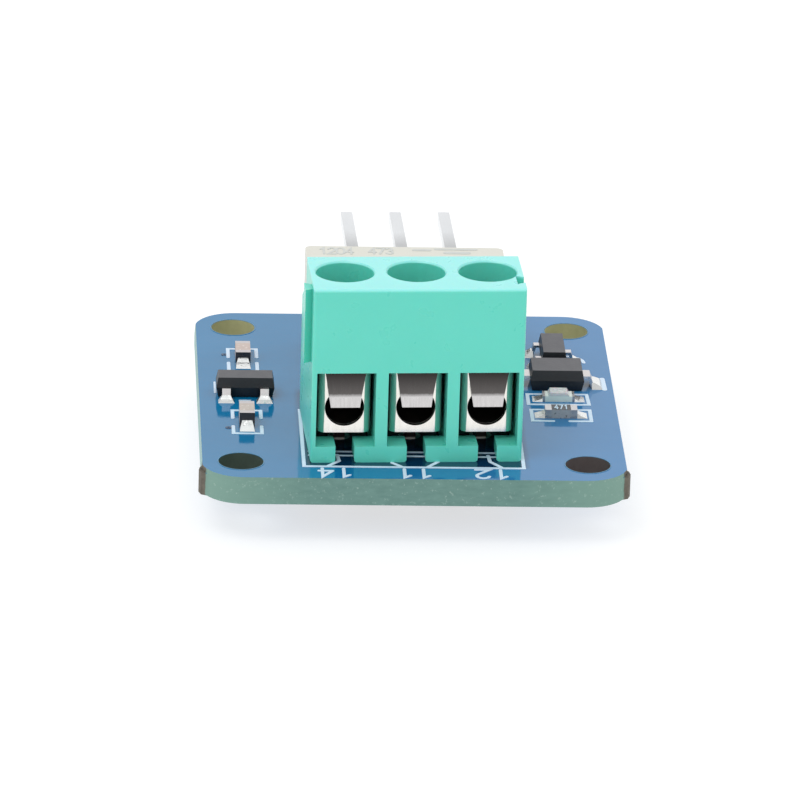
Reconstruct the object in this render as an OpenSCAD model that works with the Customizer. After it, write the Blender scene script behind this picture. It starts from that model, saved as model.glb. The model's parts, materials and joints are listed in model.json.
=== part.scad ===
// Relay module board: a small circuit board that carries a three-pole screw
// terminal block, a two-pole signal relay, a right-angle pin header and the
// driver parts of the relay. Millimetres. The origin is the centre of the four
// mounting holes on the underside of the board, +Z is up, the wires enter from
// -Y and the header points along +Y.

/* [Board] */
// Thickness of the board
board_t = 1.4; // [1:0.1:2]
// Distance between the mounting holes along X
hole_pitch_x = 17; // [16.8:0.1:19]
// Distance between the mounting holes along Y
hole_pitch_y = 18.4; // [18.2:0.1:21]
// Diameter of the mounting holes
hole_d = 2.2; // [1.8:0.1:2.6]
// Distance of the side edges from the mounting holes
side_margin = 1.95; // [1.7:0.05:2.4]
// Distance of the front and back edges from the mounting holes
end_margin = 2.1; // [1.9:0.05:2.6]
// Radius of the corners
corner_r = 2.1; // [1.5:0.05:2.6]
// Thickness of the web that snapped between the two scores of a side edge
web_t = 0.5; // [0.3:0.05:0.8]
// Depth of the score in each side edge
score_depth = 0.06; // [0.02:0.02:0.2]
// How far the torn fibre stands out at the front ends of the scores
stub_out = 0.12; // [0.05:0.01:0.2]
// Length of the torn fibre
stub_l = 1.1; // [0.6:0.1:1.4]

/* [Terminal block] */
// Place of the middle tail along X
terminal_x = -0.1; // [-0.6:0.05:0.6]
// Place of the row of tails along Y
terminal_y = -5.47; // [-5.6:0.01:-5.2]
// Turn of the block on its footprint
terminal_turn = 2.6; // [-3:0.1:3]
// Distance between poles
pole_pitch = 3.5; // [3.4:0.05:3.8]
// Wall outside the first and the last pocket
end_wall = 0.25; // [0.25:0.05:0.5]
// Height of the block
block_h = 9; // [8.9:0.1:10]
// Depth of the foot of the block
block_foot_depth = 6.9; // [6.2:0.1:7.2]
// Depth of the top of the block
block_top_depth = 4.67; // [4.5:0.01:5.2]
// Height at which the back slope starts
back_slope_low = 6.2; // [5.5:0.1:6.6]
// Height at which the back slope ends
back_slope_high = 7.6; // [7:0.1:8.4]
// Width of a wire pocket
pocket_w = 2.9; // [2.8:0.05:3]
// Height of the roof of the wire pockets at the front
pocket_top = 4.67; // [4.5:0.01:4.9]
// Height of the floor of the wire pockets
pocket_floor = 0.83; // [0.5:0.01:1]
// Depth of the floor from the front, behind which the block is open below
floor_depth = 1.4; // [1:0.1:1.8]
// Width of the slot in the floor of each pocket
floor_slot_w = 0.93; // [0.6:0.01:1.4]
// Thickness of the wall above the pockets
lintel_t = 0.4; // [0.25:0.05:0.42]
// Distance of the screws behind the front
screw_depth = 2.6; // [2.55:0.05:2.8]
// Diameter of the screw wells
well_d = 2.85; // [2.8:0.01:2.9]
// Chamfer round the mouth of a screw well
well_chamfer = 0.08; // [0.04:0.01:0.1]
// Radius of the block's edges
edge_r = 0.15; // [0.05:0.05:0.2]
// Height of the dovetail tongue on the left side
tongue_h = 3.8; // [2:0.1:4]
// Height at which the tongue and the groove start
tongue_low = 4.9; // [4.9:0.1:5]
// How far the tongue stands out
tongue_out = 0.35; // [0.2:0.05:0.4]
// Width of the tongue at its tip
tongue_tip_w = 1.05; // [0.8:0.05:1.1]
// Width of the tongue at its root
tongue_root_w = 0.65; // [0.4:0.05:0.7]
// Distance of the tongue's middle behind the front
tongue_depth = 1.35; // [1.1:0.05:1.35]
// Clearance of the groove round a neighbour's tongue
tongue_clear = 0.05; // [0.03:0.01:0.1]

/* [Clamps] */
// Width of a clamp cage
cage_w = 2.57; // [2.4:0.01:2.7]
// Distance of the cage behind the front
cage_front = 0.86; // [0.8:0.01:0.95]
// Depth of a cage
cage_depth = 4.2; // [4:0.1:4.6]
// Height of the underside of a cage
cage_low = 1.25; // [1.1:0.01:1.4]
// Height of the top of a cage
cage_top = 4.8; // [4.75:0.01:4.85]
// Sheet thickness of a cage
cage_t = 0.3; // [0.2:0.05:0.4]
// Thickness of the folded top that holds the thread
cage_nut_t = 0.8; // [0.5:0.1:1]
// Outer radius of the cage's bends
cage_bend_r = 0.4; // [0.3:0.05:0.5]
// Diameter of the wire hole in the cage
wire_hole_d = 1.93; // [1.2:0.01:1.95]
// Height of the middle of the wire hole
wire_z = 2.56; // [2.5:0.01:2.9]
// Width of a tail
tail_w = 0.5; // [0.4:0.05:0.9]
// Thickness of a tail
tail_t = 0.8; // [0.3:0.05:0.9]
// Distance of the tails behind the front of the block
tail_depth = 3.6; // [3.2:0.1:4]
// Width of the wire guard
guard_w = 2.06; // [1.9:0.01:2.2]
// Width of the wire guard at its end
guard_end_w = 1.43; // [0.8:0.01:1.8]
// Sheet thickness of the wire guard
guard_t = 0.2; // [0.15:0.01:0.22]
// Height at which the guard starts to taper
guard_taper_z = 4.7; // [3.8:0.1:5.2]
// Height of the crease across the guard
guard_crease_z = 3.33; // [3:0.01:3.6]
// Height of the end of the guard
guard_end_z = 2.75; // [2.5:0.05:2.9]
// How far the lip of the guard leans forward
guard_lip = 0.18; // [0.05:0.01:0.2]
// Height of the flange that the screw head presses
guard_flange_z = 6.3; // [6.3:0.1:6.5]
// Travel of the clamp downwards from where it stands
clamp_down = 1.1; // [0.5:0.1:1.1]
// Travel of the clamp upwards from where it stands
clamp_up = 0.9; // [0.3:0.1:1]
// Diameter of the screw head
screw_head_d = 2.65; // [2.4:0.05:2.7]
// Height of the screw head
screw_head_h = 1.2; // [0.8:0.1:1.2]
// Diameter of the screw's thread
screw_d = 2; // [1.6:0.1:2.1]
// Length of the screw under its head
screw_len = 3.2; // [2.8:0.1:3.6]
// Width of the screwdriver slot
slot_w = 0.5; // [0.3:0.05:0.7]
// Depth of the screwdriver slot
slot_depth = 0.6; // [0.3:0.1:0.8]

/* [Relay] */
// Place of the relay along X
relay_x = 0; // [-0.3:0.05:0.3]
// Place of the relay along Y
relay_y = 4; // [3.8:0.05:4.1]
// Length of the relay
relay_l = 10; // [9.8:0.1:10.6]
// Width of the relay
relay_w = 6.5; // [6.4:0.1:7]
// Height of the relay above the board
relay_h = 5.2; // [5.1:0.1:6]
// Wall of the relay's cover
cover_wall = 0.35; // [0.25:0.05:0.4]
// Height at which cover and base stand above the board
relay_stand = 0.2; // [0.1:0.05:0.3]
// Thickness of the relay's base
base_t = 0.8; // [0.6:0.05:0.9]
// Distance between the two rows of relay pins
relay_row = 5.08; // [5:0.01:5.1]
// Place of the coil pins along the relay
coil_pin_x = -3.8; // [-4:0.1:-3.6]
// Place of the first contact pins along the relay
break_pin_x = -0.6; // [-0.8:0.1:-0.4]
// Place of the middle contact pins along the relay
common_pin_x = 1.6; // [1.4:0.1:1.8]
// Place of the last contact pins along the relay
make_pin_x = 3.8; // [3.6:0.1:4]
// Width of a relay pin
relay_pin_w = 0.5; // [0.4:0.05:0.55]
// Thickness of a relay pin
relay_pin_t = 0.25; // [0.2:0.05:0.3]

/* [Relay drive] */
// Length of the winding window between the flanges
coil_l = 6; // [5:0.1:6.2]
// Thickness of the bobbin's flanges
flange_t = 0.3; // [0.2:0.05:0.4]
// Height and width of the bobbin's flanges
flange_size = 2.3; // [2.2:0.05:2.35]
// Height and width of the winding
winding_size = 2; // [1.6:0.05:2.1]
// Wall of the bobbin's tube
tube_wall = 0.2; // [0.15:0.05:0.3]
// Height and width of the core bar
core_size = 0.7; // [0.5:0.05:0.8]
// Thickness of the upright poles of the core
pole_t = 0.6; // [0.4:0.05:0.7]
// Width of the poles of the core
pole_w = 1.7; // [1:0.1:1.8]
// Thickness of the armature
armature_t = 0.3; // [0.2:0.05:0.35]
// Width of the armature
armature_w = 1.6; // [1:0.1:1.8]
// How far the armature reaches past the poles
armature_over = 0.2; // [0:0.05:0.4]
// Radius of the armature's rocker
rocker_r = 0.25; // [0.2:0.01:0.27]
// Tilt of the armature at rest
armature_tilt = -3.6; // [-3.8:0.1:-3]
// Gap between armature and pole when the armature is level
armature_gap = 0.3; // [0.29:0.01:0.32]
// Length of the magnet
magnet_l = 1.2; // [0.8:0.1:1.6]
// Height of the magnet above the bobbin's flanges
magnet_rise = 0.43; // [0.42:0.01:0.45]
// Distance of the moving springs from the middle of the relay
spring_y = 1.9; // [1.75:0.05:1.95]
// Width of a moving spring
spring_w = 0.5; // [0.3:0.05:0.6]
// Thickness of a moving spring
spring_t = 0.1; // [0.08:0.01:0.14]
// Distance of the contacts from the middle of the relay
contact_x = 2.9; // [2.7:0.05:3]
// Contact gap when the armature is level
contact_gap = 0.22; // [0.22:0.01:0.25]
// Length and width of a contact post
post_size = 0.4; // [0.3:0.05:0.45]

/* [Header] */
// Place of the header's middle tail along X
header_x = 0.5; // [0:0.1:0.6]
// Place of the header's tails along Y
header_y = 9.9; // [9.6:0.1:10]
// Turn of the header on its footprint
header_turn = 1.5; // [-3:0.1:3]
// Distance between the header's pins
header_pitch = 2.54; // [2.5:0.01:2.6]
// Side of a square header pin
header_pin = 0.6; // [0.5:0.02:0.64]
// Height of the pins' axis above the board
header_axis_z = 1.6; // [1.4:0.05:2]
// Distance from the tails to the front of the plastic
header_offset = 1.15; // [0.9:0.05:1.5]
// Depth of the plastic
header_block = 2.5; // [2.2:0.05:2.8]
// Height of the plastic
header_block_h = 2.3; // [2:0.05:2.5]
// Length of the free pins
header_free = 8.4; // [5:0.1:9]
// Length of a pin's tapered tip
header_taper = 0.5; // [0.2:0.05:0.8]
// Inner radius of the bend
header_bend_r = 0.3; // [0.1:0.05:0.5]

/* [Soldering] */
// How far the terminal and relay pins stand out below the board
pin_drop = 2; // [1.4:0.1:2.4]
// How much shorter the header's tails are
header_short = 0.4; // [0.1:0.1:0.8]
// Clearance of a plated hole round the diagonal of its pin
hole_clear = 0.17; // [0.1:0.01:0.25]
// Height of the solder cones
solder_h = 0.7; // [0.4:0.1:1]
// Width of the copper ring round a plated hole
ring_w = 0.35; // [0.2:0.05:0.4]

/* [Small parts] */
// Place of the left column of small parts
left_x = -8.1; // [-8.3:0.05:-7.9]
// Place of the right column of small parts
right_x = 7.55; // [7.4:0.05:7.8]
// Place of the filter capacitor along Y
filter_y = 4.93; // [4.6:0.01:5.2]
// Place of the left transistor along Y
switch_y = -0.05; // [-0.3:0.05:0.3]
// Place of the supply capacitor along Y
supply_y = -3.93; // [-4.2:0.01:-3.6]
// Place of the right transistor along Y
driver_y = 4.8; // [4.75:0.05:5]
// Place of the diode along Y
diode_y = 1.65; // [1.6:0.01:1.75]
// Place of the lamp along Y
lamp_y = -0.36; // [-0.5:0.01:-0.2]
// Place of the resistor along Y
resistor_y = -2.6; // [-2.8:0.05:-2.2]
// Length of a chip part
chip_l = 1.6; // [1.5:0.05:1.7]
// Width of a chip part
chip_w = 0.75; // [0.7:0.05:0.9]
// Length of a chip part's metal ends
chip_end = 0.32; // [0.2:0.02:0.4]
// Height of the filter capacitor
filter_h = 0.6; // [0.5:0.05:0.9]
// Height of the supply capacitor
supply_h = 0.8; // [0.5:0.05:0.9]
// Height of the resistor
resistor_h = 0.45; // [0.35:0.05:0.6]
// Height of the lamp's base
lamp_base_h = 0.3; // [0.2:0.05:0.35]
// Length of the lamp's metal ends
lamp_end = 0.12; // [0.1:0.02:0.2]
// Height of the lamp with its lens
lamp_h = 0.48; // [0.45:0.01:0.6]
// Length of the lamp's lens
lamp_lens_l = 1.05; // [0.8:0.05:1.1]
// Length of a transistor's body
transistor_l = 2.9; // [2.8:0.05:3]
// Width of a transistor's body
transistor_w = 1.3; // [1.2:0.05:1.4]
// Height of a transistor
transistor_h = 1.05; // [0.9:0.05:1.15]
// Distance between the paired leads
lead_pitch = 1.9; // [1.8:0.05:2]
// Width of a transistor's leads
lead_w = 0.42; // [0.36:0.02:0.5]
// Thickness of the leads
lead_t = 0.12; // [0.1:0.01:0.15]
// How far the leads reach out of a body
lead_reach = 0.6; // [0.5:0.05:0.7]
// Length of the diode's body
diode_l = 2.7; // [2.6:0.05:2.8]
// Width of the diode's body
diode_w = 2; // [1.6:0.05:2]
// Height of the diode
diode_h = 1.1; // [0.9:0.05:1.2]
// Width of the diode's leads
diode_lead_w = 0.9; // [0.6:0.05:1.2]
// How far the diode's leads reach out of its body
diode_reach = 0.85; // [0.6:0.05:0.9]
// How much a moulded body narrows to its top and to its bottom
draft = 0.1; // [0.05:0.01:0.15]
// Gap under a moulded body
body_lift = 0.05; // [0.02:0.01:0.1]
// Length of a solder fillet in front of a part's end
fillet_l = 0.5; // [0.3:0.05:0.6]
// Length of the filter capacitor's solder fillets
filter_fillet_l = 0.75; // [0.4:0.05:0.9]
// How much wider the solder is than a lead, on each side
solder_side = 0.2; // [0.1:0.02:0.24]
// How high the solder climbs a lead
solder_climb = 0.3; // [0.2:0.02:0.34]

/* [Hidden] */
$fn = 48;

// Extra length of a cutter past the face it opens
over = 0.5;
// Slack between parts that slide past each other
slide_clear = 0.06;
// Radial slack of a screw in its thread and its guard
turn_clear = 0.05;
POLES = [0, 1, 2];
FRONT = -1;
BACK = 1;

board_w = hole_pitch_x + 2 * side_margin;
board_l = hole_pitch_y + 2 * end_margin;
block_w = 2 * pole_pitch + pocket_w + 2 * end_wall;
channel_w = guard_w + 2 * slide_clear;
channel_front = lintel_t + slide_clear;
guard_front = channel_front + slide_clear;
flange_top = guard_flange_z + guard_t;
terminal_hole_d = norm([tail_w, tail_t]) + hole_clear;
relay_hole_d = norm([relay_pin_w, relay_pin_t]) + 2 * hole_clear;
header_hole_d = norm([header_pin, header_pin]) + hole_clear;

// Relay levels, from the board's top
base_top = relay_stand + base_t;
coil_z = base_top + flange_size / 2;
coil_half = coil_l / 2 + flange_t;
magnet_top = base_top + flange_size + magnet_rise;
rocker_z = magnet_top + rocker_r;
armature_low = rocker_z - armature_t / 2;
pole_top = armature_low - armature_gap;
armature_l = 2 * (coil_half + pole_t + armature_over);
carrier_l = 1.8;
carrier_wall = 0.3;
carrier_w = 2 * spring_y + spring_w + 2 * carrier_wall;
spring_l = 2 * contact_x + post_size;
post_top = rocker_z - spring_t / 2 - contact_gap;
pin_y = relay_row / 2;
relay_pins = [coil_pin_x, break_pin_x, common_pin_x, make_pin_x];

function pole_x(i) = (i - 1) * pole_pitch;
function header_pin_x(i) = (i - 1) * header_pitch;

// ---- placing ----

module at_terminal()
    translate([terminal_x, terminal_y, board_t])
        rotate([0, 0, terminal_turn])
            translate([0, -tail_depth, 0])
                children();

module at_relay() translate([relay_x, relay_y, board_t]) children();

module at_header() translate([header_x, header_y, board_t]) rotate([0, 0, header_turn]) children();

module at_part(x, y, turn = 0) translate([x, y, board_t]) rotate([0, 0, turn]) children();

// ---- shared shapes ----

// Rectangle with round corners, centred
module rounded_rect(w, l, r) {
    square([w - 2 * r, l], center = true);
    square([w, l - 2 * r], center = true);
    for (x = [-1, 1], y = [-1, 1])
        translate([x * (w / 2 - r), y * (l / 2 - r)])
            circle(r);
}

// Cuboid centred in X and Y that stands on z
module block(w, l, h, z = 0) translate([-w / 2, -l / 2, z]) cube([w, l, h]);

// Outline in the Y-Z plane, drawn out along X
module side_profile(w, points) rotate([90, 0, 90]) linear_extrude(w, center = true) polygon(points);

// Outline in the X-Z plane, drawn out along Y
module front_profile(l, points) rotate([90, 0, 0]) linear_extrude(l, center = true) polygon(points);

// ---- board ----

module board_blank() intersection() {
    linear_extrude(board_t) rounded_rect(board_w, board_l, corner_r);
    front_profile(board_l + 2 * over, [
        [-board_w / 2 + score_depth, 0],
        [board_w / 2 - score_depth, 0],
        [board_w / 2, (board_t - web_t) / 2],
        [board_w / 2, (board_t + web_t) / 2],
        [board_w / 2 - score_depth, board_t],
        [-board_w / 2 + score_depth, board_t],
        [-board_w / 2, (board_t + web_t) / 2],
        [-board_w / 2, (board_t - web_t) / 2]
    ]);
}

// Torn fibre at the front end of the right score, beside the round corner
module torn_stub() translate([board_w / 2, corner_r - board_l / 2, 0]) linear_extrude(board_t - web_t / 2) polygon([
    [-corner_r / 2, 0],
    [-corner_r / 2, -stub_l / 2],
    [-stub_l / 3, -stub_l],
    [0, -stub_l * 5 / 6],
    [stub_out, -stub_l / 2],
    [stub_out / 2, -stub_l / 6],
    [-score_depth, 0]
]);

module board_hole(d) translate([0, 0, -board_t - over]) cylinder(d = d, h = board_t + 2 * over);

module pcb() color("#1d5f93") difference() {
    union() {
        board_blank();
        torn_stub();
        mirror([1, 0, 0]) torn_stub();
    }
    for (x = [-1, 1], y = [-1, 1])
        translate([x * hole_pitch_x / 2, y * hole_pitch_y / 2, board_t])
            board_hole(hole_d);
    at_terminal() for (i = POLES) translate([pole_x(i), tail_depth, 0]) board_hole(terminal_hole_d);
    at_relay() for (x = relay_pins, y = [-pin_y, pin_y]) translate([x, y, 0]) board_hole(relay_hole_d);
    at_header() for (i = POLES) translate([header_pin_x(i), 0, 0]) board_hole(header_hole_d);
}

// ---- terminal block ----

// Dovetail in plan, from the side wall outwards
module dovetail(out, root_w, tip_w, h) linear_extrude(h) polygon([
    [0, -root_w / 2],
    [out, -tip_w / 2],
    [out, tip_w / 2],
    [0, root_w / 2]
]);

module wire_pocket() {
    // Front opening up to the lintel
    translate([-pocket_w / 2, -over, pocket_floor])
        cube([pocket_w, floor_depth + over, pocket_top - pocket_floor]);
    // Room of the cage, open below
    translate([-pocket_w / 2, channel_front, pocket_floor])
        cube([pocket_w, cage_front + cage_depth - channel_front, cage_top - pocket_floor]);
    translate([-pocket_w / 2, floor_depth, -over])
        cube([pocket_w, cage_front + cage_depth - floor_depth, pocket_floor + 2 * over]);
    // Slot through the floor
    translate([-floor_slot_w / 2, -over, -over])
        cube([floor_slot_w, floor_depth + 2 * over, pocket_floor + 2 * over]);
}

module screw_well() {
    translate([0, screw_depth, cage_top - over]) cylinder(d = well_d, h = block_h - cage_top + 2 * over);
    translate([0, screw_depth, block_h - well_chamfer])
        cylinder(d1 = well_d, d2 = well_d + 4 * well_chamfer, h = 2 * well_chamfer);
    // Channel in which the guard rides up and down
    translate([-channel_w / 2, channel_front, pocket_top - over])
        cube([channel_w, screw_depth - channel_front, flange_top + clamp_up + slide_clear - pocket_top + over]);
}

// Cutter that rounds an edge at the origin, for material towards +X and +Y
module edge_round(l) linear_extrude(l, center = true) difference() {
    translate([-edge_r, -edge_r]) square(2 * edge_r);
    translate([edge_r, edge_r]) circle(edge_r);
}

// Rounds the lower edges of the feet and the front edge, on the left of each
module block_side_rounds() {
    translate([-block_w / 2, 0, 0]) {
        rotate([90, 0, 0]) edge_round(2 * (block_foot_depth + over));
        edge_round(2 * (block_h + over));
    }
    for (i = POLES)
        translate([pole_x(i) + floor_slot_w / 2, 0, 0])
            rotate([90, 0, 0])
                edge_round(2 * floor_depth);
}

module block_rounds() {
    block_side_rounds();
    mirror([1, 0, 0]) block_side_rounds();
    translate([0, 0, block_h]) rotate([0, 90, 0]) edge_round(block_w + 2 * over);
}

module terminal_housing() color("#5fd8c4") at_terminal() difference() {
    union() {
        side_profile(block_w, [
            [0, 0],
            [block_foot_depth, 0],
            [block_foot_depth, back_slope_low],
            [block_top_depth, back_slope_high],
            [block_top_depth, block_h],
            [0, block_h]
        ]);
        translate([-block_w / 2, tongue_depth, tongue_low])
            rotate([0, 0, 180])
                dovetail(tongue_out, tongue_root_w, tongue_tip_w, tongue_h);
    }
    translate([block_w / 2, tongue_depth, tongue_low])
        rotate([0, 0, 180])
            dovetail(tongue_out + tongue_clear, tongue_root_w + 2 * tongue_clear,
                tongue_tip_w + 2 * tongue_clear, block_h);
    for (i = POLES) translate([pole_x(i), 0, 0]) {
        wire_pocket();
        screw_well();
    }
    block_rounds();
}

module tail() translate([-tail_w / 2, tail_depth - tail_t / 2, -board_t - pin_drop])
    cube([tail_w, tail_t, board_t + pin_drop + cage_low + cage_t]);

module terminal_cage(i) color("#b9bec2") at_terminal() translate([pole_x(i), 0, 0]) {
    difference() {
        translate([0, cage_front + cage_depth / 2, cage_low])
            linear_extrude(cage_top - cage_low)
                rounded_rect(cage_w, cage_depth, cage_bend_r);
        translate([0, cage_front + cage_depth / 2, cage_low + cage_t])
            linear_extrude(cage_top - cage_nut_t - cage_low - cage_t)
                rounded_rect(cage_w - 2 * cage_t, cage_depth - 2 * cage_t, cage_bend_r - cage_t / 2);
        translate([0, cage_front - over, wire_z])
            rotate([-90, 0, 0])
                cylinder(d = wire_hole_d, h = cage_t + 2 * over);
        translate([0, screw_depth, cage_top - cage_nut_t - over])
            cylinder(d = screw_d + 2 * turn_clear, h = cage_nut_t + 2 * over);
    }
    tail();
}

// Sheet bent over the front of the cage, with a ring under the screw head
module wire_guard(i) color("#8d9499") at_terminal() translate([pole_x(i), 0, 0]) difference() {
    union() {
        intersection() {
            side_profile(guard_w, [
                [guard_front, flange_top],
                [guard_front, guard_crease_z],
                [guard_front - guard_lip, guard_end_z],
                [guard_front - guard_lip + guard_t, guard_end_z],
                [guard_front + guard_t, guard_crease_z],
                [guard_front + guard_t, guard_flange_z],
                [screw_depth, guard_flange_z],
                [screw_depth, flange_top]
            ]);
            front_profile(4 * screw_depth, [
                [-guard_end_w / 2, guard_end_z],
                [guard_end_w / 2, guard_end_z],
                [guard_w / 2, guard_taper_z],
                [guard_w / 2, flange_top],
                [-guard_w / 2, flange_top],
                [-guard_w / 2, guard_taper_z]
            ]);
        }
        translate([0, screw_depth, guard_flange_z]) cylinder(d = screw_head_d, h = guard_t);
    }
    translate([0, screw_depth, guard_flange_z - over])
        cylinder(d = screw_d + 2 * turn_clear, h = guard_t + 2 * over);
}

module terminal_screw(i) color("#c4c8cc") at_terminal() translate([pole_x(i), screw_depth, flange_top])
    difference() {
        union() {
            cylinder(d = screw_head_d, h = screw_head_h);
            translate([0, 0, -screw_len + screw_d / 8]) cylinder(d = screw_d, h = screw_len);
            translate([0, 0, -screw_len]) cylinder(d1 = screw_d * 3 / 4, d2 = screw_d, h = screw_d / 8);
        }
        block(slot_w, 2 * screw_head_d, slot_depth + over, screw_head_h - slot_depth);
    }

// ---- relay ----

module relay_cover() color("#f0f0ea") at_relay() difference() {
    translate([0, 0, relay_stand])
        linear_extrude(relay_h - relay_stand)
            rounded_rect(relay_l, relay_w, cover_wall);
    block(relay_l - 2 * cover_wall, relay_w - 2 * cover_wall, relay_h - cover_wall, 0);
}

module relay_base() color("#2e3238") at_relay() difference() {
    union() {
        block(relay_l - 2 * cover_wall, relay_w - 2 * cover_wall, base_t, relay_stand);
        // Feet between the pins
        for (x = [(coil_pin_x + break_pin_x) / 2, (common_pin_x + make_pin_x) / 2])
            translate([x, 0, 0])
                block(post_size, relay_row / 2, relay_stand + base_t, 0);
    }
    for (side = [FRONT, BACK]) {
        coil_lead(side);
        break_lead(side);
        common_lead(side);
        make_lead(side);
    }
}

// Flat of a lead frame inside the base, from its pin to its post
module lead(pin_x, post_x, post_y, side, post_z) {
    lead_z = relay_stand + base_t / 2;
    translate([pin_x, side * pin_y, 0])
        block(relay_pin_w, relay_pin_t, board_t + pin_drop + lead_z, -board_t - pin_drop);
    translate([(pin_x + post_x) / 2, side * pin_y, 0])
        block(abs(pin_x - post_x) + relay_pin_t, relay_pin_t, relay_pin_t, lead_z - relay_pin_t);
    translate([post_x, side * (pin_y + post_y) / 2, 0])
        block(relay_pin_t, abs(pin_y - post_y) + relay_pin_t, relay_pin_t, lead_z - relay_pin_t);
    translate([post_x, side * post_y, 0])
        block(post_size, relay_pin_t, post_z - lead_z + relay_pin_t, lead_z - relay_pin_t);
}

module coil_lead(side) lead(coil_pin_x, coil_pin_x, pin_y - relay_pin_w, side, base_top + winding_size / 2);
module break_lead(side) lead(break_pin_x, -contact_x, spring_y, side, post_top);
module common_lead(side) lead(common_pin_x, 0, pin_y, side, rocker_z - 2 * rocker_r);
module make_lead(side) lead(make_pin_x, contact_x, spring_y, side, post_top);

module coil_terminal(side) color("#d9b25f") at_relay() coil_lead(side);
module break_terminal(side) color("#d9b25f") at_relay() break_lead(side);
module common_terminal(side) color("#d9b25f") at_relay() common_lead(side);
module make_terminal(side) color("#d9b25f") at_relay() make_lead(side);

module coil_bobbin() color("#3c4046") at_relay() translate([0, 0, coil_z]) rotate([0, 90, 0]) difference() {
    union() {
        for (x = [-coil_half, coil_l / 2]) block(flange_size, flange_size, flange_t, x);
        block(core_size + 2 * tube_wall, core_size + 2 * tube_wall, coil_l, -coil_l / 2);
    }
    block(core_size, core_size, 2 * coil_half + 2 * over, -coil_half - over);
}

module coil_winding() color("#b5652b") at_relay() translate([0, 0, coil_z]) rotate([0, 90, 0]) difference() {
    block(winding_size, winding_size, coil_l, -coil_l / 2);
    block(core_size + 2 * tube_wall, core_size + 2 * tube_wall, coil_l + 2 * over, -coil_l / 2 - over);
}

module coil_core() color("#8b8f94") at_relay() {
    block(2 * (coil_half + pole_t), core_size, core_size, coil_z - core_size / 2);
    for (side = [-1, 1])
        translate([side * (coil_half + pole_t / 2), 0, 0])
            block(pole_t, pole_w, pole_top - coil_z + core_size / 2, coil_z - core_size / 2);
}

module coil_magnet() color("#4a4d52") at_relay()
    block(magnet_l, armature_w, magnet_top - base_top - flange_size + (flange_size - winding_size) / 2,
        coil_z + winding_size / 2);

module at_armature() at_relay() translate([0, 0, rocker_z]) rotate([0, armature_tilt, 0]) children();

module armature_shape() {
    block(armature_l, armature_w, armature_t, -armature_t / 2);
    rotate([90, 0, 0]) cylinder(r = rocker_r, h = armature_w, center = true);
}

module armature() color("#9a9ea3") at_armature() armature_shape();

module contact_spring_shape(side) translate([0, side * spring_y, 0]) block(spring_l, spring_w, spring_t, -spring_t / 2);

module contact_spring(side) color("#caa45a") at_armature() contact_spring_shape(side);

// Moulded over the armature and round both springs, open below the armature
module spring_carrier() color("#33373d") at_armature() difference() {
    block(carrier_l, carrier_w, 2 * carrier_wall, -carrier_wall);
    block(carrier_l + 2 * over, armature_w, carrier_wall + over, -carrier_wall - over);
    armature_shape();
    contact_spring_shape(FRONT);
    contact_spring_shape(BACK);
}

// ---- header ----

module header_pin_shape(i) translate([header_pin_x(i), 0, 0]) {
    bend = header_bend_r + header_pin / 2;
    pin_end = header_offset + header_block + header_free;
    tip = header_pin / 4;
    // Tail
    block(header_pin, header_pin, board_t + pin_drop - header_short + header_axis_z - bend,
        -board_t - pin_drop + header_short);
    // Bend
    translate([0, bend, header_axis_z - bend])
        rotate([90, 0, -90])
            rotate_extrude(angle = 90)
                translate([header_bend_r, -header_pin / 2])
                    square(header_pin);
    // Free length with its tapered tip
    intersection() {
        side_profile(header_pin, [
            [bend, header_axis_z - header_pin / 2],
            [pin_end - header_taper, header_axis_z - header_pin / 2],
            [pin_end, header_axis_z - tip],
            [pin_end, header_axis_z + tip],
            [pin_end - header_taper, header_axis_z + header_pin / 2],
            [bend, header_axis_z + header_pin / 2]
        ]);
        linear_extrude(2 * header_axis_z) polygon([
            [-header_pin / 2, 0],
            [-header_pin / 2, pin_end - header_taper],
            [-tip, pin_end],
            [tip, pin_end],
            [header_pin / 2, pin_end - header_taper],
            [header_pin / 2, 0]
        ]);
    }
}

module header_pin_piece(i) color("#d8dbde") at_header() header_pin_shape(i);

module header_insulator() color("#24262a") at_header() difference() {
    for (i = POLES)
        translate([header_pin_x(i), header_offset, header_axis_z])
            rotate([-90, 0, 0])
                linear_extrude(header_block)
                    header_outline();
    for (i = POLES) header_pin_shape(i);
}

// One pole of the plastic, with its corners cut
module header_outline() {
    cut = header_block_h / 5;
    half_w = header_pitch / 2;
    half_h = header_block_h / 2;
    polygon([
        [-half_w, -half_h + cut],
        [-half_w + cut, -half_h],
        [half_w - cut, -half_h],
        [half_w, -half_h + cut],
        [half_w, half_h - cut],
        [half_w - cut, half_h],
        [-half_w + cut, half_h],
        [-half_w, half_h - cut]
    ]);
}

// ---- small parts ----

// Moulded body that narrows from its middle to its top and bottom
module moulded_body(l, w, h) {
    mid = (body_lift + h) / 2;
    intersection() {
        front_profile(2 * w, drafted(l, mid, h));
        side_profile(2 * l, drafted(w, mid, h));
    }
}

function drafted(size, mid, h) = [
    [-size / 2 + draft, body_lift],
    [size / 2 - draft, body_lift],
    [size / 2, mid],
    [size / 2 - draft, h],
    [-size / 2 + draft, h],
    [-size / 2, mid]
];

// Bent lead that leaves a body half its width from the middle, towards +Y
module gull_lead(w, body_w, h, reach) {
    mid = (body_lift + h) / 2;
    seat = body_w / 2 - draft - lead_t;
    knee = body_w / 2 + reach / 4;
    foot = body_w / 2 + reach / 2;
    side_profile(w, [
        [seat, mid - lead_t / 2],
        [knee, mid - lead_t / 2],
        [foot, 0],
        [body_w / 2 + reach, 0],
        [body_w / 2 + reach, lead_t],
        [foot + lead_t, lead_t],
        [knee + lead_t, mid + lead_t / 2],
        [seat, mid + lead_t / 2]
    ]);
}

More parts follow.
